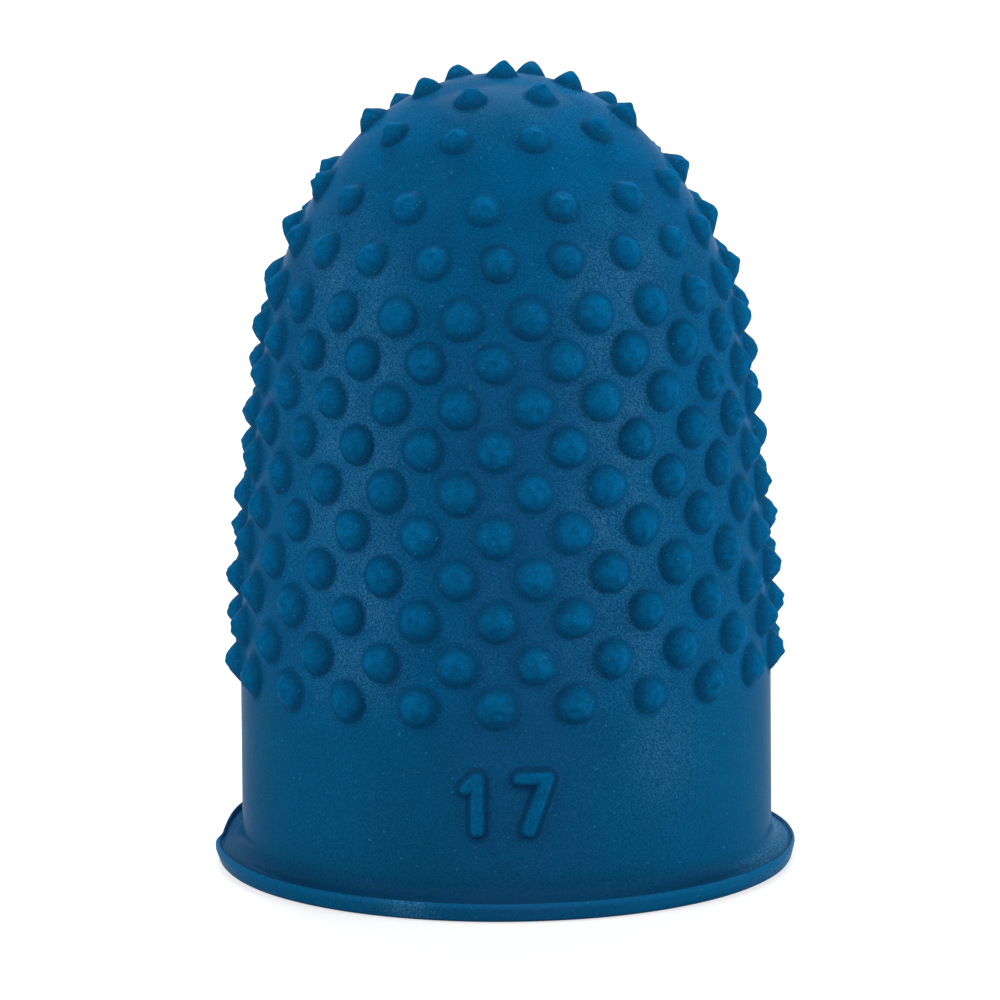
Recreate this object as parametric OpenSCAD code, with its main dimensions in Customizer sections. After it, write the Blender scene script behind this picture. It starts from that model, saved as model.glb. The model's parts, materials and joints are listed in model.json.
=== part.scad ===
// Rubber fingertip: a studded thimble with a straight collar and a flanged mouth.
// Millimetres. +Z is up from the flange's underside and the front faces -Y.

/* [Bore and wall] */
// Diameter of the straight finger bore
bore_d = 17; // [15:0.5:19]
// Thickness of the rubber wall
wall_t = 1.5; // [1:0.1:2]
// Height of the straight collar
collar_h = 10.5; // [9:0.5:12]
// Height of the wall's top, without its stud
wall_h = 30; // [27:0.5:33]

/* [Crown] */
// Outside radius of the round top
crown_r = 7.4; // [6.9:0.1:7.7]
// Angle from the axis at which the round top meets the shoulder
crown_angle = 48.5; // [47:0.5:53]
// Lean of the straight sleeve towards the axis
sleeve_lean = 6.2; // [5:0.2:7]

/* [Rim] */
// Reach of the flange past the collar
flange_reach = 1.05; // [0.85:0.05:1.5]
// Thickness of the flange
flange_t = 0.72; // [0.6:0.02:1.2]
// Radius of the hollow corner between flange and collar
flange_fillet = 0.5; // [0.3:0.05:0.6]
// Rounding of the flange's outer edges
flange_round = 0.2; // [0.1:0.02:0.24]
// Rounding of the mouth's inner edge
mouth_round = 0.3; // [0.15:0.05:0.45]

/* [Sleeve studs] */
// Diameter of a sleeve stud at the wall
stud_d = 1.6; // [1.3:0.05:1.8]
// Height of a stud above the wall
stud_h = 0.6; // [0.45:0.05:0.75]
// Radius of a stud's round tip
stud_tip_r = 0.3; // [0.2:0.02:0.36]
// Studs in each sleeve row
row_studs = 21; // [18:1:23]
// Height of the lowest row
row_low_z = 8; // [7.4:0.1:8.6]
// Angle from the axis of the studs in the highest sleeve row
row_top_angle = 72.5; // [71:0.5:74]
// Turn of the rows away from the front
row_turn = -2; // [-8:0.5:8]
// Tilt of all rows, crown rows too, up towards the right
row_tilt = 1.2; // [0:0.1:1.2]

/* [Crown studs] */
// Diameter of a crown stud at the wall
crown_stud_d = 1.3; // [1.1:0.05:1.6]
// Angle from the axis of the lowest crown row
crown_row_1_angle = 64; // [61:0.5:65]
// Angle from the axis of the second crown row
crown_row_2_angle = 55.5; // [54:0.5:57]
// Angle from the axis of the third crown row
crown_row_3_angle = 39; // [35:0.5:41]
// Angle from the axis of the highest crown row
crown_row_4_angle = 21; // [18:0.5:23]
// Studs in the lowest crown row
crown_row_1_studs = 19; // [16:1:20]
// Studs in the second crown row
crown_row_2_studs = 14; // [11:1:15]
// Studs in the third crown row
crown_row_3_studs = 10; // [7:1:11]
// Studs in the highest crown row
crown_row_4_studs = 6; // [4:1:7]
// Turn of the lowest crown row away from the front
crown_row_1_turn = -1; // [-9:0.5:9]
// Turn of the second crown row away from the front
crown_row_2_turn = -6; // [-12:0.5:12]
// Turn of the third crown row away from the front
crown_row_3_turn = -21; // [-24:0.5:12]
// Turn of the highest crown row away from the front
crown_row_4_turn = -25; // [-30:0.5:30]

/* [Size figures] */
// Height of the raised figures
figure_h = 2.4; // [1.8:0.1:3]
// Width of a figure's stroke
figure_stroke = 0.42; // [0.3:0.02:0.5]
// Height of the figures above the collar's face
figure_raise = 0.25; // [0.15:0.05:0.4]
// Space between the two figures
figure_gap = 1; // [0.7:0.1:1.4]
// Height of the middle of the figures above the underside
figure_z = 4.3; // [3.6:0.1:4.8]

/* [Hidden] */
$fn = 256;
stud_fn = 48;
collar_r = bore_d / 2 + wall_t;
flange_r = collar_r + flange_reach;
rim_h = flange_t + flange_fillet;
sleeve_rows = 10;
stud_sink = 0.2;
cut_over = 1;

// The shoulder's arc is tangent to the straight sleeve and to the crown.
// Its radius and the sleeve's length close the outline between collar and top.
close_run = collar_r - crown_r * sin(crown_angle);
close_rise = wall_h - collar_h - crown_r * (1 - cos(crown_angle));
arc_run = cos(sleeve_lean) - sin(crown_angle);
arc_rise = cos(crown_angle) - sin(sleeve_lean);
close_det = sin(sleeve_lean) * arc_rise - cos(sleeve_lean) * arc_run;
sleeve_len = (close_run * arc_rise - close_rise * arc_run) / close_det;
shoulder_r = (sin(sleeve_lean) * close_rise - cos(sleeve_lean) * close_run) / close_det;

// Outside points and arc centres in the half section
collar_top = [collar_r, collar_h];
sleeve_top = collar_top + sleeve_len * [-sin(sleeve_lean), cos(sleeve_lean)];
crown_c = [0, wall_h - crown_r];
shoulder_c = crown_c + (crown_r - shoulder_r) * [sin(crown_angle), cos(crown_angle)];

// Inside points, one wall thickness in
bore_top = [bore_d / 2, collar_h - wall_t * tan(sleeve_lean / 2)];
sleeve_top_in = sleeve_top - wall_t * [cos(sleeve_lean), sin(sleeve_lean)];

// Outside of the shoulder and crown at an angle from the axis
function wall_x(a) = a <= crown_angle ? crown_r * sin(a) : shoulder_c[0] + shoulder_r * sin(a);
function wall_z(a) = a <= crown_angle ? crown_c[1] + crown_r * cos(a) : shoulder_c[1] + shoulder_r * cos(a);

// Outside of the wall and its normal's angle from the axis, at a height
function side_angle(z) =
    z <= collar_h ? 90
    : z <= sleeve_top[1] ? 90 - sleeve_lean
    : z <= wall_z(crown_angle) ? acos((z - shoulder_c[1]) / shoulder_r)
    : acos((z - crown_c[1]) / crown_r);
function side_x(z) =
    z <= collar_h ? collar_r
    : z <= sleeve_top[1] ? collar_r - (z - collar_h) * tan(sleeve_lean)
    : wall_x(side_angle(z));

// Sleeve rows are evenly spaced in height
row_pitch = (wall_z(row_top_angle) - row_low_z) / (sleeve_rows - 1);
function row_z(i) = row_low_z + i * row_pitch;

// Stud outline: the flank is tangent to the round tip
tip_z = stud_h - stud_tip_r;
function flank(r) = atan2(tip_z, r) + asin(stud_tip_r / norm([r, tip_z]));
function tip_edge(r) = [stud_tip_r * sin(flank(r)), tip_z + stud_tip_r * cos(flank(r))];

// Figures are the bore's whole millimetres, drawn in straight strokes on a box 1 high
figure_w = 0.5 * figure_h;
bore_mm = round(bore_d);
bore_tens = floor(bore_mm / 10);
bore_ones = bore_mm - 10 * bore_tens;
stroke_points = [
    [[0, 0], [0.5, 0], [0.5, 1], [0, 1], [0, 0]],
    [[0.1, 0.8], [0.3, 1], [0.3, 0]],
    [[0, 1], [0.5, 1], [0.5, 0.6], [0, 0], [0.5, 0]],
    [[0, 1], [0.5, 1], [0.2, 0.6], [0.5, 0.4], [0.5, 0], [0, 0]],
    [[0.4, 0], [0.4, 1], [0, 0.3], [0.5, 0.3]],
    [[0.5, 1], [0, 1], [0, 0.55], [0.5, 0.55], [0.5, 0], [0, 0]],
    [[0.5, 1], [0, 1], [0, 0], [0.5, 0], [0.5, 0.55], [0, 0.55]],
    [[0, 1], [0.5, 1], [0.15, 0]],
    [[0, 0.5], [0, 0], [0.5, 0], [0.5, 1], [0, 1], [0, 0.5], [0.5, 0.5]],
    [[0, 0], [0.5, 0], [0.5, 1], [0, 1], [0, 0.45], [0.5, 0.45]]
];

// Node to draw, or all of them

// Colours
wall_color = [0.02, 0.3, 0.48];
stud_color = [0.01, 0.34, 0.54];

// Point on a line from an arc's centre, and where that line meets the axis
function ray(c, r, a) = c + r * [cos(a), sin(a)];
function on_axis(c, a) = [0, c[1] - c[0] * tan(a)];

// Half section of the shoulder, filled to the axis
module shoulder_zone() {
    intersection() {
        translate(shoulder_c) circle(shoulder_r);
        polygon([
            on_axis(shoulder_c, sleeve_lean),
            ray(shoulder_c, 2 * shoulder_r, sleeve_lean),
            ray(shoulder_c, 2 * shoulder_r, 90 - crown_angle),
            crown_c
        ]);
    }
}

// Half section of the crown, filled to its centre
module crown_zone() {
    intersection() {
        translate(crown_c) circle(crown_r);
        polygon([crown_c, ray(crown_c, 2 * crown_r, 90 - crown_angle), ray(crown_c, 2 * crown_r, 90)]);
    }
}

// Filled outside form, which the studs are seated on
module outside_form() {
    rotate_extrude() {
        polygon([[0, 0], [collar_r, 0], collar_top, sleeve_top, on_axis(shoulder_c, sleeve_lean)]);
        shoulder_zone();
        crown_zone();
    }
}

// One stud standing on the wall's tangent plane, with its foot in the wall
module stud(r) {
    rotate_extrude($fn = stud_fn) {
        polygon([
            [0, -stud_sink],
            [r + stud_sink / tan(flank(r)), -stud_sink],
            tip_edge(r),
            [0, tip_z]
        ]);
        intersection() {
            translate([0, tip_z]) circle(stud_tip_r, $fn = stud_fn);
            polygon([[0, tip_z], [0, tip_z] + 3 * (tip_edge(r) - [0, tip_z]), [0, tip_z + 3 * stud_tip_r]]);
        }
    }
}

// Stud on the front of the wall, cut back to the wall's face
module seated_stud(r, x, z, a) {
    color(stud_color)
    difference() {
        translate([0, -x, z])
        rotate([a, 0, 0])
        stud(r);
        outside_form();
    }
}

// Tilted ring of studs about a height
module stud_ring(r, z, count, turn) {
    for (k = [0 : count - 1]) {
        azimuth = turn + k * 360 / count;
        seat_z = z + side_x(z) * sin(azimuth) * tan(row_tilt);
        rotate([0, 0, azimuth])
        seated_stud(r, side_x(seat_z), seat_z, side_angle(seat_z));
    }
}

// Sleeve rows stand half a step apart from row to row
module sleeve_row(i) {
    stud_ring(stud_d / 2, row_z(i), row_studs, row_turn + (i % 2) * 180 / row_studs);
}

// A crown row stands at its own angle from the axis
module crown_row(a, count, turn) {
    stud_ring(crown_stud_d / 2, wall_z(a), count, turn);
}

module rim() {
    color(wall_color)
    rotate_extrude()
    difference() {
        union() {
            translate([bore_d / 2, 0])
                square([flange_r - flange_round - bore_d / 2, flange_t]);
            translate([flange_r - flange_round, flange_round])
                square([flange_round, flange_t - 2 * flange_round]);
            translate([flange_r - flange_round, flange_round])
                circle(flange_round);
            translate([flange_r - flange_round, flange_t - flange_round])
                circle(flange_round);
            translate([bore_d / 2, flange_t])
                square([wall_t + flange_fillet, flange_fillet]);
        }
        translate([collar_r + flange_fillet, rim_h])
            circle(flange_fillet);
        difference() {
            translate([bore_d / 2 - cut_over, -cut_over])
                square(mouth_round + cut_over);
            translate([bore_d / 2 + mouth_round, mouth_round])
                circle(mouth_round);
        }
    }
}

module collar() {
    color(wall_color)
    rotate_extrude()
    polygon([[bore_d / 2, rim_h], [collar_r, rim_h], collar_top, bore_top]);
}

module sleeve() {
    color(wall_color)
    rotate_extrude()
    polygon([collar_top, sleeve_top, sleeve_top_in, bore_top]);
}

module shoulder() {
    color(wall_color)
    rotate_extrude()
    difference() {
        shoulder_zone();
        translate(shoulder_c) circle(shoulder_r - wall_t);
    }
}

module crown() {
    color(wall_color)
    rotate_extrude()
    difference() {
        crown_zone();
        translate(crown_c) circle(crown_r - wall_t);
    }
}

// One straight stroke with round ends
module stroke(p, q) {
    translate(p) circle(d = figure_stroke);
    translate(q) circle(d = figure_stroke);
    translate(p)
    rotate(atan2(q[1] - p[1], q[0] - p[0]))
    translate([0, -figure_stroke / 2])
    square([norm(q - p), figure_stroke]);
}

// One figure with its lower left corner at the origin
module figure(digit) {
    points = (figure_h - figure_stroke) * stroke_points[digit];
    for (k = [0 : len(points) - 2])
        stroke(points[k], points[k + 1]);
}

module size_figures() {
    color(stud_color)
    intersection() {
        translate([0, 0, figure_z])
        rotate([90, 0, 0])
        linear_extrude(collar_r + figure_raise + cut_over) {
            translate([-figure_gap / 2 - figure_w, figure_stroke / 2 - figure_h / 2])
                figure(bore_tens);
            translate([figure_gap / 2, figure_stroke / 2 - figure_h / 2])
                figure(bore_ones);
        }
        difference() {
            cylinder(h = collar_h, r = collar_r + figure_raise);
            cylinder(h = collar_h, r = collar_r);
        }
    }
}

module stud_row_01() { sleeve_row(0); }
module stud_row_02() { sleeve_row(1); }
module stud_row_03() { sleeve_row(2); }
module stud_row_04() { sleeve_row(3); }
module stud_row_05() { sleeve_row(4); }
module stud_row_06() { sleeve_row(5); }
module stud_row_07() { sleeve_row(6); }
module stud_row_08() { sleeve_row(7); }
module stud_row_09() { sleeve_row(8); }
module stud_row_10() { sleeve_row(9); }
module crown_row_1() { crown_row(crown_row_1_angle, crown_row_1_studs, crown_row_1_turn); }
module crown_row_2() { crown_row(crown_row_2_angle, crown_row_2_studs, crown_row_2_turn); }
module crown_row_3() { crown_row(crown_row_3_angle, crown_row_3_studs, crown_row_3_turn); }
module crown_row_4() { crown_row(crown_row_4_angle, crown_row_4_studs, crown_row_4_turn); }
module apex_stud() { seated_stud(crown_stud_d / 2, 0, wall_h, 0); }

rim();
collar();
sleeve();
shoulder();
crown();
size_figures();
stud_row_01();
stud_row_02();
stud_row_03();
stud_row_04();
stud_row_05();
stud_row_06();
stud_row_07();
stud_row_08();
stud_row_09();
stud_row_10();
crown_row_1();
crown_row_2();
crown_row_3();
crown_row_4();
apex_stud();
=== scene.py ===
"""Looks of the rubber fingertip: one moulded wall with its rim, rows of studs and raised figures.

Lengths are millimetres until a mesh is made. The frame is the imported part's: +Z up, front towards -Y.
"""

import json
import math
import random

import bmesh
import bpy
import numpy as np
from mathutils import Euler, Matrix, Vector, noise


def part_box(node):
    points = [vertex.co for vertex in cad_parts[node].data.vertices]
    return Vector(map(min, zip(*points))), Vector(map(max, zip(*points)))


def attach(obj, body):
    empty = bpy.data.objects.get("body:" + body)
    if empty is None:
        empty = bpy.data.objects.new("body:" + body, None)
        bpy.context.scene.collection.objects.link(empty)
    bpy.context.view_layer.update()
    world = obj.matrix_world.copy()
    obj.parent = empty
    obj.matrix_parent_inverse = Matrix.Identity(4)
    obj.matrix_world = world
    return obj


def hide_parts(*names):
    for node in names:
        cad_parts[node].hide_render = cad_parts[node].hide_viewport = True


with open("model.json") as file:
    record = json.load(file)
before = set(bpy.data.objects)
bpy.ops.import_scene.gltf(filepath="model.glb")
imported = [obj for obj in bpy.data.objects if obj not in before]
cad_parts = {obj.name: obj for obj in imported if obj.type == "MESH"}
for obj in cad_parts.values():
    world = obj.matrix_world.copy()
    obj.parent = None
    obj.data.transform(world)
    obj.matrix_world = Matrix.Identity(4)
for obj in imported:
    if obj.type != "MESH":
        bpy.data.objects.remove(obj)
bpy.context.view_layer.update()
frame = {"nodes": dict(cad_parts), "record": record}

MM = 0.001
FULL_TURN = 2 * math.pi
seed = 17
rng = random.Random(seed)


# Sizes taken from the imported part
def box_mm(node):
    """Low and high corner of a node's box."""
    low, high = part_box(node)
    return low / MM, high / MM


wall_nodes = ["rim", "collar", "sleeve", "shoulder", "crown"]
figure_node = "size_figures"
stud_nodes = sorted(set(frame["nodes"]) - set(wall_nodes) - {figure_node})
mounts = {mount["name"]: mount for mount in frame["record"]["mounts"]}

flange_r = box_mm("rim")[1].x
rim_h = box_mm("rim")[1].z
collar_r = box_mm("collar")[1].x
collar_h = box_mm("collar")[1].z
bore_r = mounts["finger_bore"]["dims"]["r_mm"]
wall_t = collar_r - bore_r
sleeve_top = np.array([box_mm("shoulder")[1].x, box_mm("sleeve")[1].z])
crown_edge = np.array([box_mm("crown")[1].x, box_mm("shoulder")[1].z])
wall_h = box_mm("crown")[1].z

# Lean of the sleeve, and the two arcs that close the wall above it
sleeve_lean = math.atan2(collar_r - sleeve_top[0], sleeve_top[1] - collar_h)
crown_angle = 2 * math.atan2(wall_h - crown_edge[1], crown_edge[0])
crown_r = crown_edge[0] / math.sin(crown_angle)
crown_c = np.array([0, wall_h - crown_r])
shoulder_r = (sleeve_top[0] - crown_edge[0]) / (math.cos(sleeve_lean) - math.sin(crown_angle))
shoulder_c = sleeve_top - shoulder_r * np.array([math.cos(sleeve_lean), math.sin(sleeve_lean)])

# The bend between collar and sleeve is eased over this length to either side
bend_len = 3.8
bend_r = bend_len / math.tan(sleeve_lean / 2)
bend_c = np.array([collar_r - bend_r, collar_h - bend_len])

# Lip of the flange, as the mould and the trim leave it
fillet_r = 0.5
flange_t = rim_h - fillet_r
lip_draft = 0.16
lip_round = 0.1
lip_ease = 0.02
groove_in = 0.27
groove_wide = 0.12
groove_depth = 0.13
mouth_round = 0.3

# How finely the wall is cut
step_len = 0.22
fewest_steps = 3
round_steps = 250
lip_step = 0.03
lip_passes = 3
fillet_steps = 12
mouth_steps = 8


def arc(centre, radius, start, end, count):
    """Points on an arc in the half section, by angle from level."""
    turn = np.linspace(start, end, count)
    return np.asarray(centre) + radius * np.column_stack([np.cos(turn), np.sin(turn)])


def wall_section(depth):
    """Half section of the wall from the rim's top to the axis, at a depth below the outside."""
    parts = [[[collar_r - depth, z] for z in np.arange(rim_h, bend_c[1], step_len)]]
    for centre, radius, start, end in (
        (bend_c, bend_r, 0, sleeve_lean),
        (shoulder_c, shoulder_r, sleeve_lean, math.pi / 2 - crown_angle),
        (crown_c, crown_r, math.pi / 2 - crown_angle, math.pi / 2),
    ):
        count = max(fewest_steps, round(radius * abs(end - start) / step_len))
        points = arc(centre, radius - depth, start, end, count)
        parts.append(points if centre is bend_c else points[1:])
    return np.vstack(parts)


def even_steps(points, step):
    """The same line with points evenly spaced along it."""
    length = np.concatenate([[0], np.cumsum(np.linalg.norm(np.diff(points, axis=0), axis=1))])
    along = np.linspace(0, length[-1], round(length[-1] / step) + 1)
    return np.column_stack([np.interp(along, length, points[:, axis]) for axis in range(2)])


def smooth_steps(points, passes):
    """Eases the corners of an evenly stepped line and keeps its ends."""
    for _ in range(passes):
        points[1:-1] = (points[:-2] + 2 * points[1:-1] + points[2:]) / 4
    return points


def rim_section():
    """Half section of the rim from the mouth's edge, under the flange and over its lip, to the collar."""
    edge_r = flange_r - lip_draft
    groove_r = flange_r - groove_in
    corners = np.array([
        [bore_r + mouth_round, 0],
        [edge_r - lip_round, 0],
        [edge_r, lip_round],
        [flange_r + lip_ease, flange_t - 1.5 * lip_round],
        [flange_r - lip_round / 2, flange_t],
        [groove_r + groove_wide, flange_t],
        [groove_r, flange_t - groove_depth],
        [groove_r - groove_wide, flange_t - groove_depth / 3],
        [collar_r + fillet_r, flange_t],
    ])
    lip = smooth_steps(even_steps(corners, lip_step), lip_passes)
    lip[:, 0] = np.minimum(lip[:, 0], flange_r)
    fillet = arc([collar_r + fillet_r, rim_h], fillet_r, -math.pi / 2, -math.pi, fillet_steps)
    return np.vstack([lip, fillet[1:-1]])


# Half section of the whole skin, from the crown's top over the rim and up the bore to the axis
outside = wall_section(0)
inside = wall_section(wall_t)
mouth = arc([bore_r + mouth_round, mouth_round], mouth_round, math.pi, 1.5 * math.pi, mouth_steps)
bore_low = np.array([[bore_r, z] for z in np.arange(mouth_round, rim_h, step_len)])
section = np.vstack([outside[::-1], rim_section()[::-1], mouth[-2::-1], bore_low[1:], inside])

# The outside as a line to seat things on, with its direction and normal at each point
seat_step = 0.1
seat_block = 4000
seat_line = even_steps(outside, seat_step)
seat_run = np.gradient(seat_line, axis=0)
seat_run /= np.linalg.norm(seat_run, axis=1)[:, None]
seat_normal = np.column_stack([seat_run[:, 1], -seat_run[:, 0]])


def seat(points):
    """Nearest point of the outside to each point, the normal there and the height over it."""
    on_axis = 1e-9
    radius = np.hypot(points[:, 0], points[:, 1])
    flat = np.column_stack([radius, points[:, 2]])
    near = np.concatenate([
        np.argmin(((seat_line - some[:, None]) ** 2).sum(2), axis=1)
        for some in np.array_split(flat, len(flat) // seat_block + 1)
    ])
    run, normal = seat_run[near], seat_normal[near]
    shift = ((flat - seat_line[near]) * run).sum(1)
    foot = seat_line[near] + shift[:, None] * run
    height = ((flat - foot) * normal).sum(1)
    around = points[:, :2] / np.maximum(radius, on_axis)[:, None]
    return (
        np.column_stack([around * foot[:, :1], foot[:, 1]]),
        np.column_stack([around * normal[:, :1], normal[:, 1]]),
        height,
    )


# Shared by the pieces
def smooth_range(value, low, high):
    """An eased step from 0 at low to 1 at high."""
    share = np.clip((value - low) / (high - low), 0, 1)
    return share * share * (3 - 2 * share)


def hump(value, middle, wide):
    """A bell that is 1 at the middle."""
    return np.exp(-(((value - middle) / wide) ** 2))


def even_turns(count):
    """Angles evenly spaced round the axis."""
    return np.linspace(0, FULL_TURN, count, endpoint=False)


def closed_faces(rings, count, first=0):
    """Faces of a closed skin from pole to pole, with rings of count points between the poles."""
    last = first + rings * count + 1
    faces = []
    for here in range(count):
        beside = (here + 1) % count
        faces.append((first, first + 1 + here, first + 1 + beside))
        for ring in range(rings - 1):
            this = first + 1 + ring * count
            following = this + count
            faces.append((this + here, following + here, following + beside, this + beside))
        faces.append((last - count + here, last, last - count + beside))
    return faces


def make_piece(name, points, faces, material, slot, nodes, **values):
    """A smooth mesh in the part's frame that stands for CAD nodes, with a value per point for each name."""
    mesh = bpy.data.meshes.new(name)
    mesh.from_pydata((np.asarray(points) * MM).tolist(), [], faces)
    mesh.polygons.foreach_set("use_smooth", [True] * len(mesh.polygons))
    for key, numbers in values.items():
        layer = mesh.attributes.new(key, "FLOAT", "POINT")
        layer.data.foreach_set("value", np.asarray(numbers, np.float32))
    mesh.materials.append(material)
    mesh.validate()
    piece = bpy.data.objects.new(name, mesh)
    bpy.context.scene.collection.objects.link(piece)
    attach(piece, "root")
    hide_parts(*nodes)


# Wall: the flange's uneven trim and its raised end at the far left, with turns in degrees from the front
trim_depth = 0.04
trim_len = 2.2
side_trim = 0.15
side_trim_span = (0.3, 1)
curl_high = 0.6
curl_in = 0.2
curl_start = (89, 113)
curl_end = (140, 175)
tuck_start = (90, 95)

# Wall: where it is lighter, where painted shade darkens it, and where it has dust or painted sheen
lip_tone = 0.28
corner_shade = 0.36
corner_shade_high = 0.6
ledge_high = 0.9
ledge_start = 0.15
ledge_slack = 0.01
side_turn = (45, 70)
right_clear = 0.85
left_clear = 0.1
# Share of the painted ledge sheen at the left
left_ledge_sheen = 0.3
lip_dust_turn = -20
lip_dust_wide = 5
cloud_share = 0.6
cloud_turn = 36
cloud_wide = 9
cloud_z = 6
cloud_high = 2.2


def trim_flange(radius, height, turns):
    """Radius and height of the wall's points with the flange trimmed, and curled up at the far left."""
    lip = np.clip((radius - collar_r - fillet_r) / (flange_r - collar_r - fillet_r), 0, 1)
    places = [Vector((math.sin(turn), math.cos(turn), 0)) * flange_r / trim_len for turn in turns[0]]
    waves = np.array([noise.noise(place) for place in places])
    radius = radius - lip * np.clip(trim_depth * (0.5 + 0.5 * waves), 0, None)
    left = np.degrees(np.arctan2(-np.sin(turns), np.cos(turns)))
    curl_stop = 1 - smooth_range(left, *curl_end)
    flange = np.clip((radius - collar_r) / (flange_r - collar_r), 0, 1)
    height = height + curl_high * smooth_range(left, *curl_start) * curl_stop * flange
    radius = radius - curl_in * smooth_range(left, *tuck_start) * curl_stop * lip
    radius = radius - side_trim * smooth_range(np.sin(turns), *side_trim_span) * lip
    return radius, height


def wall_marks(points):
    """Tone, bloom and painted sheen of the wall: a lighter lip over painted shade in the corner, dust on lip
    and collar, and dust with painted sheen on the ledge at the sides.
    """
    radius = np.hypot(points[:, 0], points[:, 1])
    height = points[:, 2]
    turned = np.degrees(np.arctan2(points[:, 0], -points[:, 1]))
    is_outside = radius > bore_r + wall_t / 2
    at_right = smooth_range(turned, *side_turn)
    at_left = smooth_range(-turned, *side_turn)
    on_lip = np.clip((radius - (flange_r - groove_in)) / lip_round, 0, 1)
    # Painted shade in the corner between collar and flange, cleared at the sides where side light reaches
    in_corner_shade = hump(height, flange_t, corner_shade_high) * is_outside * (1 - on_lip)
    in_corner_shade = in_corner_shade * (1 - right_clear * at_right - left_clear * at_left)
    on_ledge = hump(height, flange_t, ledge_high) * (radius > collar_r - ledge_slack) * (1 - on_lip)
    on_ledge = on_ledge * smooth_range(radius, collar_r, collar_r + ledge_start)
    cloud = hump(turned, cloud_turn, cloud_wide) * hump(height, cloud_z, cloud_high) * is_outside
    lip_dust = on_lip * hump(turned, lip_dust_turn, lip_dust_wide)
    # Painted sheen of the side light on the ledge at both sides, dust on the lip, and a dust cloud on the
    # collar
    bloom = lip_dust + on_ledge * (at_right + left_ledge_sheen * at_left) + cloud_share * cloud
    return lip_tone * on_lip - corner_shade * in_corner_shade, bloom


def make_wall(material):
    """The whole moulded wall as one closed skin."""
    line = section[1:-1]
    radius, turns = np.meshgrid(line[:, 0], even_turns(round_steps), indexing="ij")
    height = np.repeat(line[:, 1:], round_steps, axis=1)
    radius, height = trim_flange(radius, height, turns)
    places = (radius * np.sin(turns), -radius * np.cos(turns), height)
    skin = np.column_stack([axis.ravel() for axis in places])
    points = np.vstack([[[0, 0, section[0, 1]]], skin, [[0, 0, section[-1, 1]]]])
    tone, bloom = wall_marks(points)
    make_piece(
        "moulded_wall", points, closed_faces(len(line), round_steps), material, "wall_rubber", wall_nodes,
        rise=np.zeros(len(points)), tone=tone, bloom=bloom,
    )


# Studs: rings as shares of the foot's radius, and the form over them
stud_rings = np.array([
    0, 0.07, 0.15, 0.24, 0.34, 0.45, 0.56, 0.67, 0.77, 0.85, 0.91, 0.95, 0.98, 1.01, 1.04, 1.08, 1.13, 1.2,
])
stud_steps = 40
stud_sink = 0.12
skirt_over = 0.005
sleeve_stud_r = 0.85
crown_stud_r = {
    "crown_row_1": 0.77, "crown_row_2": 0.74, "crown_row_3": 0.68, "crown_row_4": 0.63, "apex_stud": 0.62,
}
sleeve_form = {"ease": 0.24, "fullness": 1.18, "fillet": 0.016}
crown_form = {"ease": 0.22, "fullness": 1.12, "fillet": 0.026}

# Studs: how far single ones differ, and the one that is worn down
top_share = (0.9, 0.97)
foot_share = (0.95, 1.05)
lean_most = 0.1
bulge_most = 0.035
bulge_waves = (2, 3)
lump_high = 0.022
lump_len = 0.4
lump_waves = 3
dimple_share = 0.3
dimple_off = (0.05, 0.3)
dimple_r = 0.13
dimple_depth = 0.07
worn_node = "stud_row_01"
worn_turn = 32
worn_within = 5
worn_size = 0.72

# Studs: painted shade in a dark ring round the foot, and how far the tone of single ones differs
ring_shade = 0.22
ring_at = 0.98
ring_wide = 0.1
stud_tone = 0.09


def stud_tips(node):
    """Tips of a node's studs, in order round the axis."""
    weld = 1e-7
    tip_band = 0.01
    solids = bmesh.new()
    solids.from_mesh(frame["nodes"][node].data)
    bmesh.ops.remove_doubles(solids, verts=solids.verts[:], dist=weld)
    solids.verts.ensure_lookup_table()
    seen = [False] * len(solids.verts)
    tips = []
    for start in solids.verts:
        if seen[start.index]:
            continue
        seen[start.index] = True
        island = [start]
        for point in island:
            for edge in point.link_edges:
                other = edge.other_vert(point)
                if not seen[other.index]:
                    seen[other.index] = True
                    island.append(other)
        points = np.array([point.co for point in island]) / MM
        height = seat(points)[2]
        tips.append(points[height > height.max() - tip_band].mean(0))
    solids.free()
    return sorted(tips, key=lambda tip: math.atan2(tip[0], -tip[1]))


def stud_axes(tip):
    """Point of the outside under a tip, two directions along the wall there, and the tip's height."""
    upright = 1e-3
    base, normal, top = (found[0] for found in seat(tip[None]))
    side = np.cross([0, 0, 1], normal)
    side_len = np.linalg.norm(side)
    side = np.array([1, 0, 0]) if side_len < upright else side / side_len
    return base, side, np.cross(normal, side), top


def stud_height(radius, foot_r, top, ease, fullness, fillet):
    """Height of a stud at a distance from its axis: a full cone, eased at its tip and hollow at its foot."""
    away = (np.sqrt(radius * radius + ease * ease) - ease) / (math.hypot(foot_r, ease) - ease)
    cone = top * (1 - away**fullness)
    return (cone + np.sqrt(cone * cone + fillet**2)) / 2


def any_turn():
    """A random angle."""
    return rng.uniform(0, FULL_TURN)


def stud_lumps(across, along):
    """Low waves in random directions over a stud."""
    height = np.zeros(len(across))
    for _ in range(lump_waves):
        wave_turn, wave_start = any_turn(), any_turn()
        wave_at = across * math.cos(wave_turn) + along * math.sin(wave_turn)
        height += lump_high * np.cos(wave_at * FULL_TURN / lump_len + wave_start)
    return height


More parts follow.
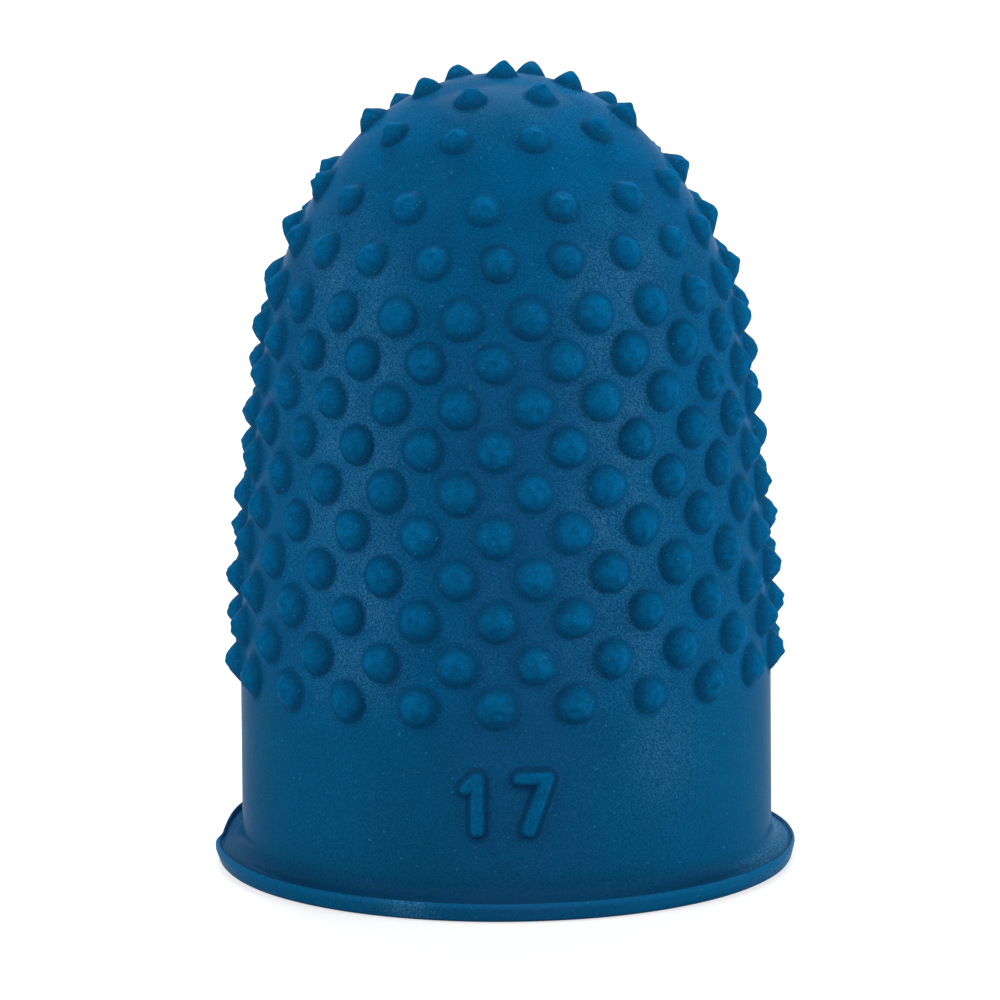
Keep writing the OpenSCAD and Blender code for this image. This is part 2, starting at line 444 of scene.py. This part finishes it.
def make_stud(tip, foot_r, form, size):
    """Points of one stud, from its tip over its foot into the wall, with each point's rise and tone."""
    base, side, up, top = stud_axes(tip)
    top = top * size * rng.uniform(*top_share)
    foot_r = foot_r * math.sqrt(size) * rng.uniform(*foot_share)
    lean = rng.uniform(0, lean_most)
    lean_turn = any_turn()
    is_dimpled = rng.random() < dimple_share
    dimple_at = rng.uniform(*dimple_off)
    dimple_turn = any_turn()
    rings = foot_r * np.concatenate([stud_rings, stud_rings[-1:], [0]])
    radius, turns = np.meshgrid(rings, even_turns(stud_steps), indexing="ij")
    bulge = 1 + sum(rng.uniform(0, bulge_most) * np.cos(wave * turns + any_turn()) for wave in bulge_waves)
    across = (radius * bulge * np.cos(turns)).ravel()
    along = (radius * bulge * np.sin(turns)).ravel()
    share = (radius / foot_r).ravel()
    # Painted shade in a ring round the foot, plus a random tone for each stud
    tone = -ring_shade * hump(share, ring_at, ring_wide) + rng.uniform(-stud_tone, stud_tone) * (share < 1)
    height = stud_height(radius, foot_r, top - skirt_over, **form).ravel() + skirt_over
    height += stud_lumps(across, along) * np.clip(1 - share, 0, 1)
    if is_dimpled:
        dimple_across = dimple_at * math.cos(dimple_turn)
        dimple_along = dimple_at * math.sin(dimple_turn)
        away = np.hypot(across - dimple_across, along - dimple_along)
        height -= dimple_depth * hump(away, 0, dimple_r)
    rise = np.clip(height / top, 0, 1)
    # The skirt's edge dips just under the wall's face, and the last two rings close the skin inside it
    by_ring = height.reshape(radius.shape)
    by_ring[-3] = -skirt_over
    by_ring[-2:] = -stud_sink
    across = across + lean * rise * math.cos(lean_turn)
    along = along + lean * rise * math.sin(lean_turn)
    foot, outward, _ = seat(base + across[:, None] * side + along[:, None] * up)
    points = foot + height[:, None] * outward
    # The first and the last ring are one point each
    keep = np.ones(len(points), bool)
    keep[1:stud_steps] = False
    keep[-stud_steps + 1:] = False
    return points[keep], rise[keep], tone[keep]


def make_stud_row(node, material):
    """One node's studs as one mesh of separate closed skins."""
    points, rises, tones, faces = [], [], [], []
    foot_r = crown_stud_r.get(node, sleeve_stud_r)
    form = crown_form if node in crown_stud_r else sleeve_form
    first = 0
    for tip in stud_tips(node):
        turn = math.degrees(math.atan2(tip[0], -tip[1]))
        is_worn = node == worn_node and abs(turn - worn_turn) < worn_within
        stud, rise, tone = make_stud(tip, foot_r, form, worn_size if is_worn else 1)
        faces += closed_faces(len(stud_rings), stud_steps, first)
        points.append(stud)
        rises.append(rise)
        tones.append(tone)
        first += len(stud)
    make_piece(
        node + "_skin", np.vstack(points), faces, material, "stud_rubber", [node],
        rise=np.concatenate(rises), tone=np.concatenate(tones),
    )


# Raised figures, 1 and 7: strokes in shares of the line's height, with a sloped foot and a halo of painted
# shade
figure_paths = [
    [(0.1, 0.8), (0.3, 1), (0.3, 0)],
    [(0, 1), (0.5, 1), (0.15, 0)],
]
figure_gap = 1
figure_stroke = 0.42
figure_spread = 0.14
figure_halo = 0.22
figure_flat = figure_stroke / 4
figure_foot = figure_stroke / 2 + figure_spread
figure_reach = figure_foot + figure_halo
figure_sink = 0.1
figure_cell = 0.05
figure_halo_shade = 0.34
figure_halo_shade_end = (0.2, 0.8)


def stroke_distance(points, path):
    """Distance of each point from a path of straight strokes."""
    best = np.full(len(points), np.inf)
    for start, end in zip(path[:-1], path[1:]):
        run = end - start
        share = np.clip(((points - start) @ run) / (run @ run), 0, 1)
        best = np.minimum(best, np.linalg.norm(points - start - share[:, None] * run, axis=1))
    return best


def figure_patch(path):
    """Grid points near a path with their faces, and the rim's edges and points, drawn out to the reach."""
    small = 1e-4
    passes = 3
    low = path.min(0) - figure_reach - figure_cell
    high = path.max(0) + figure_reach + 2 * figure_cell
    lines = [np.arange(start, end, figure_cell) for start, end in zip(low, high)]
    flat = np.column_stack([axis.ravel() for axis in np.meshgrid(*lines, indexing="ij")])
    grid = np.arange(len(flat)).reshape(len(lines[0]), len(lines[1]))
    corners = (grid[:-1, :-1], grid[1:, :-1], grid[1:, 1:], grid[:-1, 1:])
    cells = np.column_stack([corner.ravel() for corner in corners])
    cells = cells[stroke_distance(flat, path)[cells].max(1) < figure_reach]
    used, cells = np.unique(cells, return_inverse=True)
    flat = flat[used]
    cells = cells.reshape(-1, len(corners)).tolist()
    edges = [edge for cell in cells for edge in zip(cell, cell[1:] + cell[:1])]
    known = set(edges)
    rim_edges = [(start, end) for start, end in edges if (end, start) not in known]
    rim = sorted({corner for edge in rim_edges for corner in edge})
    for _ in range(passes):
        away = stroke_distance(flat[rim], path)
        slope = np.column_stack([
            (stroke_distance(flat[rim] + np.array(step), path) - away) / small
            for step in ((small, 0), (0, small))
        ])
        flat[rim] += (figure_reach - away)[:, None] * slope
    return flat, cells, rim_edges, rim


def make_figures(material):
    """The raised figures, wrapped on the collar's front."""
    low, high = box_mm(figure_node)
    figure_h = high.z - low.z
    figure_raise = max(-low.y, -high.y) - collar_r
    line_h = figure_h - figure_stroke
    starts = (-figure_gap / 2 - figure_h / 2, figure_gap / 2)
    points, faces, rises, tones = [], [], [], []
    for start, unit_path in zip(starts, figure_paths):
        path = np.array(unit_path) * line_h + [start, low.z + figure_stroke / 2]
        flat, cells, rim_edges, rim = figure_patch(path)
        away = stroke_distance(flat, path)
        rise = np.clip((figure_foot - away) / (figure_foot - figure_flat), 0, 1)
        height = figure_raise * smooth_range(rise, 0, 1) + skirt_over
        height[rim] = -skirt_over
        # Painted shade in a halo round each stroke, fading up the stroke's side
        in_shade_halo = smooth_range(figure_reach - away, 0, figure_halo)
        tone = -figure_halo_shade * in_shade_halo * (1 - smooth_range(rise, *figure_halo_shade_end))
        turn = flat[:, 0] / collar_r
        front = sum(len(some) for some in points)
        back = front + len(flat)
        for radius in (collar_r + height, np.full(len(flat), collar_r - figure_sink)):
            points.append(np.column_stack([radius * np.sin(turn), -radius * np.cos(turn), flat[:, 1]]))
        rises += [rise, np.zeros(len(flat))]
        tones += [tone, np.zeros(len(flat))]
        faces += [tuple(front + corner for corner in cell) for cell in cells]
        faces += [tuple(back + corner for corner in reversed(cell)) for cell in cells]
        faces += [(front + end, front + begin, back + begin, back + end) for begin, end in rim_edges]
    make_piece(
        "size_figures_skin", np.vstack(points), faces, material, "stud_rubber", [figure_node],
        rise=np.concatenate(rises), tone=np.concatenate(tones),
    )


# Shader nodes, with the numbers of the colour sockets of a mix
mix_under = 6
mix_over = 7
mix_result = 2


def add(tree, kind, inputs, **settings):
    """A shader node with its settings, and each input set or linked."""
    made = tree.nodes.new(kind)
    for key, value in settings.items():
        setattr(made, key, value)
    for key, value in inputs.items():
        if isinstance(value, bpy.types.NodeSocket):
            tree.links.new(value, made.inputs[key])
        else:
            made.inputs[key].default_value = value
    return made


def add_value(tree, name):
    """The value that each point of a piece has by a name, or 0."""
    return add(tree, "ShaderNodeAttribute", {}, attribute_name=name).outputs["Fac"]


def add_noise(tree, where, size, detail):
    """Noise with lumps of a size in millimetres."""
    inputs = {"Vector": where, "Scale": 1 / (size * MM), "Detail": detail, "Roughness": noise_rough}
    return add(tree, "ShaderNodeTexNoise", inputs).outputs["Fac"]


def add_range(tree, value, span):
    """An eased map of a value, by a span of two limits and the results at both."""
    (low, high), (to_low, to_high) = span
    inputs = {"Value": value, "From Min": low, "From Max": high, "To Min": to_low, "To Max": to_high}
    return add(tree, "ShaderNodeMapRange", inputs, interpolation_type="SMOOTHSTEP").outputs["Result"]


def add_mix(tree, share, under, over):
    """One colour with a share of another over it. Each is a socket or three numbers."""
    inputs = {"Factor": share}
    for key, colour in ((mix_under, under), (mix_over, over)):
        inputs[key] = colour if isinstance(colour, bpy.types.NodeSocket) else (*colour, 1)
    return add(tree, "ShaderNodeMix", inputs, data_type="RGBA").outputs[mix_result]


def add_math(tree, operation, first, second):
    """The result of one operation on two values."""
    return add(tree, "ShaderNodeMath", {0: first, 1: second}, operation=operation).outputs[0]


def add_scale(tree, vector, scale):
    """A vector or colour times a value."""
    return add(tree, "ShaderNodeVectorMath", {0: vector, "Scale": scale}, operation="SCALE").outputs[0]


def add_product(tree, first, *others):
    """The product of any number of values."""
    for other in others:
        first = add_math(tree, "MULTIPLY", first, other)
    return first


def add_distance(tree, value, middle):
    """How far a value is from a middle."""
    return add_math(tree, "ABSOLUTE", add_math(tree, "SUBTRACT", value, middle), 0.0)


# Blues of the rubber
deep_blue = (0.002, 0.089, 0.224)
mid_blue = (0.001, 0.105, 0.260)
collar_blue = (0.003, 0.093, 0.206)
# Painted shade down the front middle, darker and more purple
middle_shade_blue = (0.008, 0.093, 0.246)
# Pale dust, also used for painted sheen where side light grazes the wall
dust_sheen_blue = (0.036, 0.170, 0.335)
# Painted shade on the studs' flanks
flank_shade_blue = (0.003, 0.076, 0.184)
# Paler stud tips, partly wear and partly a painted highlight, in blotches
tip_wear_highlight_blue = (0.001, 0.131, 0.317)
speck_blue = (0.030, 0.220, 0.360)
# Painted shade where a point's tone is low: the flange corner, the stud rings and the figure halos; it also
# darkens studs of a lower random tone
shade_blue = (0.005, 0.041, 0.104)

# Noises, each by its size in millimetres and its detail
noise_rough = 0.55
mottle_noise = (2.4, 4)
patch_noise = (1.6, 3)
bump_noise = (0.45, 3)
blotch_noise = (0.32, 2)
speck_noise = (0.13, 0)
grain_noise = (0.06, 2)

# Shares of the blues, each by two limits of a place, a noise or a point's value, and the shares there
mottle_share = ((0.35, 0.65), (0, 1))
collar_share = ((6, 9), (0.6, 0))
# Painted shade down the front middle: its line, its spread to the sides and its end upwards
middle_line = 0.5
middle_shade_share = ((0.5, 4), (0.6, 0))
middle_shade_end = ((19, 24), (1, 0))
# Dust with painted sheen: two bands at the sides of the front fading up the sleeve, and a painted reflection
# on the crown's top
dust_sheen_line = -0.7
dust_sheen_start = ((2, 4.5), (0.14, 1))
dust_sheen_end = ((5.5, 7.5), (1, 0.2))
dust_sheen_low = ((6.5, 10), (0.08, 1))
dust_sheen_high = ((23.5, 27), (1, 0.1))
dust_sheen_top = ((27.5, 29.3), (0, 0.3))
dust_sheen_patch = ((0.3, 0.7), (0.35, 0.95))
dust_sheen_grain = ((0.36, 0.7), (0, 1))
dust_sheen_foot = ((0.02, 0.25), (1, 0))
# Painted shade on the stud flanks, by rise
flank_shade_share = ((0.03, 0.2), (0, 1))
# Paler tips, partly a painted highlight, by rise
tip_wear_highlight_share = ((0.15, 0.8), (0, 1))
blotch_share = ((0.35, 0.62), (0.5, 1))
speck_share = ((0.78, 0.86), (0, 0.6))
shade_share = ((-0.6, 0), (1, 0))
grain_light = ((0.25, 0.75), (0.77, 1.23))

# Relief of the surface, and the thin coat that gives the edges their haze
coarse_bump = {"Strength": 0.5, "Distance": 0.03 * MM}
fine_bump = {"Strength": 0.6, "Distance": 0.012 * MM}
coat_rough = 0.2
coat_ior = 1.07


def dust_sheen_cover(tree, where, across, upward, grain, rise):
    """Share of pale dust and painted sheen: two bands of dust with painted side-light sheen down the sleeve,
    a painted reflection on the crown's top, and where a piece has bloom or painted sheen.
    """
    off_line = add_distance(tree, across, dust_sheen_line)
    bands = add_product(
        tree, add_range(tree, off_line, dust_sheen_start), add_range(tree, off_line, dust_sheen_end),
        add_range(tree, upward, dust_sheen_low), add_range(tree, upward, dust_sheen_high),
    )
    # The crown's top gets a painted reflection
    cover = add_math(tree, "ADD", bands, add_range(tree, upward, dust_sheen_top))
    patches = add_range(tree, add_noise(tree, where, *patch_noise), dust_sheen_patch)
    cover = add_math(tree, "ADD", add_product(tree, cover, patches), add_value(tree, "bloom"))
    return add_product(tree, add_range(tree, grain, dust_sheen_grain), cover, add_range(tree, rise, dust_sheen_foot))


def rubber_colour(tree, where, mottle, grain):
    """Blue by height, by distance from the middle as painted shade, by dust with painted sheen, and by the
    rise and tone of each point: painted shade on the stud flanks, paler tips partly a painted highlight, and
    painted shade where the tone is low.
    """
    rise, tone = add_value(tree, "rise"), add_value(tree, "tone")
    across, _, upward = add(tree, "ShaderNodeSeparateXYZ", {"Vector": add_scale(tree, where, 1 / MM)}).outputs
    # Painted shade down the front middle of the wall
    off_middle = add_distance(tree, across, middle_line)
    in_middle_shade = add_product(
        tree, add_range(tree, off_middle, middle_shade_share), add_range(tree, upward, middle_shade_end),
    )
    blotches = add_range(tree, add_noise(tree, where, *blotch_noise), blotch_share)
    colour = add_mix(tree, mottle, deep_blue, mid_blue)
    for share, blue in (
        (add_range(tree, upward, collar_share), collar_blue),
        (in_middle_shade, middle_shade_blue),
        (dust_sheen_cover(tree, where, across, upward, grain, rise), dust_sheen_blue),
        (add_range(tree, rise, flank_shade_share), flank_shade_blue),
        (add_product(tree, add_range(tree, rise, tip_wear_highlight_share), blotches), tip_wear_highlight_blue),
        (add_range(tree, add_noise(tree, where, *speck_noise), speck_share), speck_blue),
        (add_range(tree, tone, shade_share), shade_blue),
    ):
        colour = add_mix(tree, share, colour, blue)
    paler = add_math(tree, "MAXIMUM", tone, 0.0)
    return add_scale(tree, colour, add_math(tree, "ADD", add_range(tree, grain, grain_light), paler))


def rubber(name, rough, haze):
    """A matte blue rubber with mottle, grain, dust, and painted shade, sheen and highlight, between two
    roughnesses and with a share of coat.
    """
    material = bpy.data.materials.new(name)
    material.use_nodes = True
    tree = material.node_tree
    shader = tree.nodes["Principled BSDF"].inputs
    where = add(tree, "ShaderNodeTexCoord", {}).outputs["Object"]
    mottle = add_range(tree, add_noise(tree, where, *mottle_noise), mottle_share)
    grain = add_noise(tree, where, *grain_noise)
    lumps = add_noise(tree, where, *bump_noise)
    coarse = add(tree, "ShaderNodeBump", {"Height": lumps, **coarse_bump}).outputs["Normal"]
    fine = add(tree, "ShaderNodeBump", {"Height": grain, "Normal": coarse, **fine_bump}).outputs["Normal"]
    tree.links.new(rubber_colour(tree, where, mottle, grain), shader["Base Color"])
    tree.links.new(add_range(tree, mottle, ((0, 1), rough)), shader["Roughness"])
    tree.links.new(fine, shader["Normal"])
    shader["Specular IOR Level"].default_value = 0.0
    shader["Coat Weight"].default_value = haze
    shader["Coat Roughness"].default_value = coat_rough
    shader["Coat IOR"].default_value = coat_ior
    return material


wall_rubber = rubber("wall_rubber", rough=(0.5, 0.65), haze=0.31)
stud_rubber = rubber("stud_rubber", rough=(0.42, 0.55), haze=0.15)

make_wall(wall_rubber)
for stud_node in stud_nodes:
    make_stud_row(stud_node, stud_rubber)
make_figures(stud_rubber)

# White floor and backdrop, with lengths in metres
white = (1, 1, 1, 1)
floor_half = 0.6
floor_below = 0.02 * MM
floor_grey = (0.6, 0.6, 0.6, 1)
floor_glow = 0.62
world_level = ((0, 1), (0.02, 1))


def seen_directly(tree):
    """1 for what the camera sees straight, in gloss or through glass, and 0 for light on things."""
    path = add(tree, "ShaderNodeLightPath", {}).outputs
    seen = add_math(tree, "MAXIMUM", path["Is Camera Ray"], path["Is Glossy Ray"])
    return add_math(tree, "MAXIMUM", seen, path["Is Transmission Ray"])


def make_floor():
    """A white sheet under the part that still shows its shadow."""
    signs = ((-1, -1), (1, -1), (1, 1), (-1, 1))
    corners = [(x * floor_half, y * floor_half, -floor_below) for x, y in signs]
    mesh = bpy.data.meshes.new("floor")
    mesh.from_pydata(corners, [], [(0, 1, 2, 3)])
    floor = bpy.data.objects.new("floor", mesh)
    bpy.context.scene.collection.objects.link(floor)
    material = bpy.data.materials.new("floor_paper")
    material.use_nodes = True
    tree = material.node_tree
    tree.nodes.remove(tree.nodes["Principled BSDF"])
    lit = add(tree, "ShaderNodeBsdfDiffuse", {"Color": floor_grey}).outputs[0]
    shine = add_math(tree, "MULTIPLY", seen_directly(tree), floor_glow)
    glow = add(tree, "ShaderNodeEmission", {"Color": white, "Strength": shine}).outputs[0]
    both = add(tree, "ShaderNodeAddShader", {0: lit, 1: glow}).outputs[0]
    tree.links.new(both, tree.nodes["Material Output"].inputs["Surface"])
    mesh.materials.append(material)


def make_world():
    """A backdrop that looks white and adds little light."""
    world = bpy.data.worlds.new("studio")
    bpy.context.scene.world = world
    world.use_nodes = True
    tree = world.node_tree
    background = tree.nodes["Background"].inputs
    background["Color"].default_value = white
    tree.links.new(add_range(tree, seen_directly(tree), world_level), background["Strength"])


# Soft boxes, each by its turn from the front and its angle up, in degrees, and its power in watts
light_far = 0.5
light_size = 0.3
lights = {
    "left_high": (-60, 50, 0.98),
    "left_low": (-62, 8, 0.8),
    "right_low": (72, 12, 1.2),
    "right_far": (100, 20, 0.5),
    "right_high": (60, 50, 0.42),
    "back_box": (180, 50, 2.2),
}


def make_light(name, turn, up, power):
    """A soft box that faces the middle of the part."""
    turn, up = math.radians(turn), math.radians(up)
    light = bpy.data.lights.new(name, "AREA")
    light.shape = "SQUARE"
    light.size = light_size
    light.energy = power
    away = Vector((math.cos(up) * math.sin(turn), -math.cos(up) * math.cos(turn), math.sin(up)))
    lamp = bpy.data.objects.new(name, light)
    lamp.location = away * light_far + Vector((0, 0, wall_h / 2 * MM))
    lamp.rotation_euler = away.to_track_quat("Z", "Y").to_euler()
    bpy.context.scene.collection.objects.link(lamp)


make_floor()
make_world()
for light_name, placing in lights.items():
    make_light(light_name, *placing)

# Camera at the photograph's angle, with lengths in metres
view_up = math.radians(12.07)
view_roll = math.radians(0.45)
view_far = 0.6
view_wide = 37.66 * MM
view_aim = Vector((-0.17, 0, 13.75)) * MM
camera_data = bpy.data.cameras.new("camera")
camera_data.sensor_width = 36
camera_data.lens = camera_data.sensor_width * view_far / view_wide
camera = bpy.data.objects.new("camera", camera_data)
camera.location = view_aim + view_far * Vector((0, -math.cos(view_up), math.sin(view_up)))
tilt = Euler((math.pi / 2 - view_up, 0, 0)).to_matrix() @ Matrix.Rotation(-view_roll, 3, "Z")
camera.rotation_euler = tilt.to_euler()
bpy.context.scene.collection.objects.link(camera)
bpy.context.scene.camera = camera
bpy.context.scene.view_settings.view_transform = "Standard"
